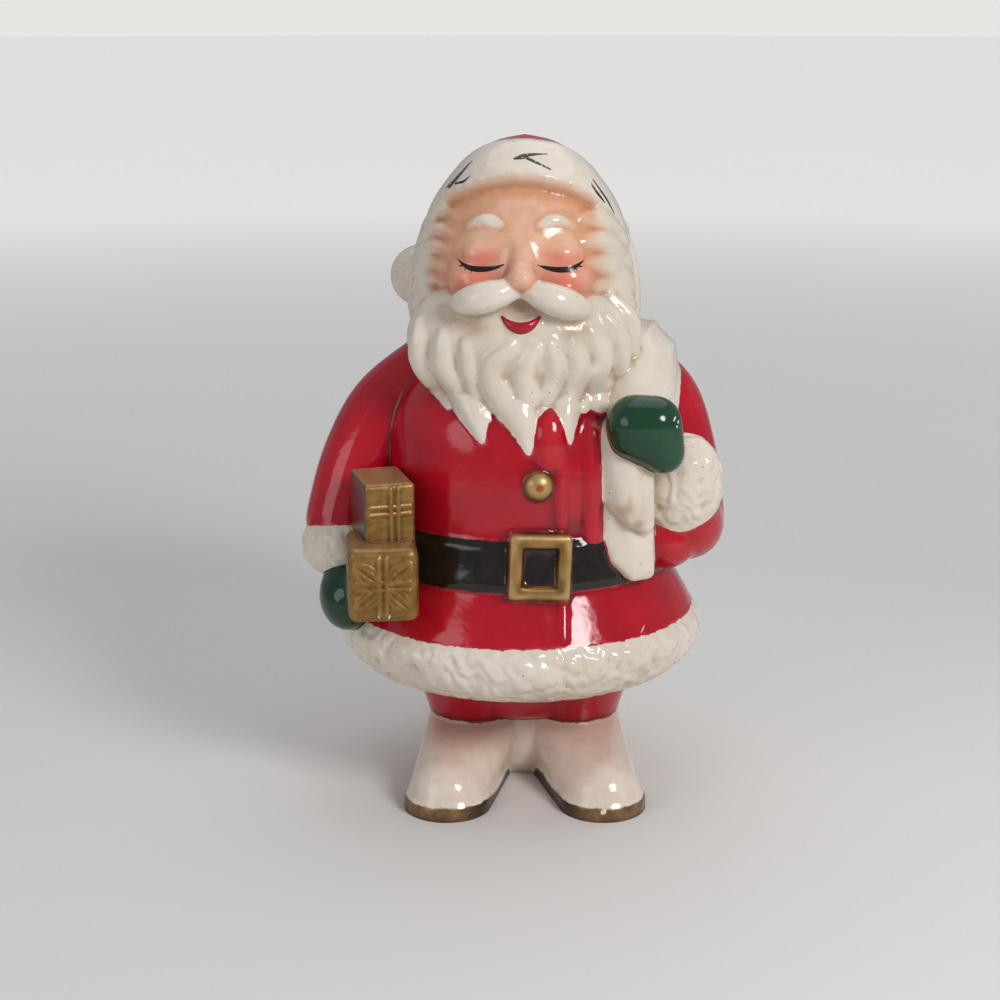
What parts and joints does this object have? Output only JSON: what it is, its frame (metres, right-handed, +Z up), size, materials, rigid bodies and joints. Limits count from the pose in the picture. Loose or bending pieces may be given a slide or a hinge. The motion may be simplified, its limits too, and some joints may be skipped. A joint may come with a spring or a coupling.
{
  "type": "santa candle holder",
  "caption": "Glazed ceramic Santa figure, hollow cast in one piece, with an open sack on its back whose round socket holds a taper candle.",
  "frame": {"origin": "middle of the bounding box, on the plane of the boots' soles", "axes": "+Z up along the figure, -Y the way the figure faces, +X to the figure's own left"},
  "size_m": [0.0942, 0.0881, 0.1459],
  "materials": {
    "santa_figurine": "glossy glaze over painted colours"
  },
  "bodies": {
    "root": {"santa_figurine": "santa_figurine"}
  },
  "joints": []
}
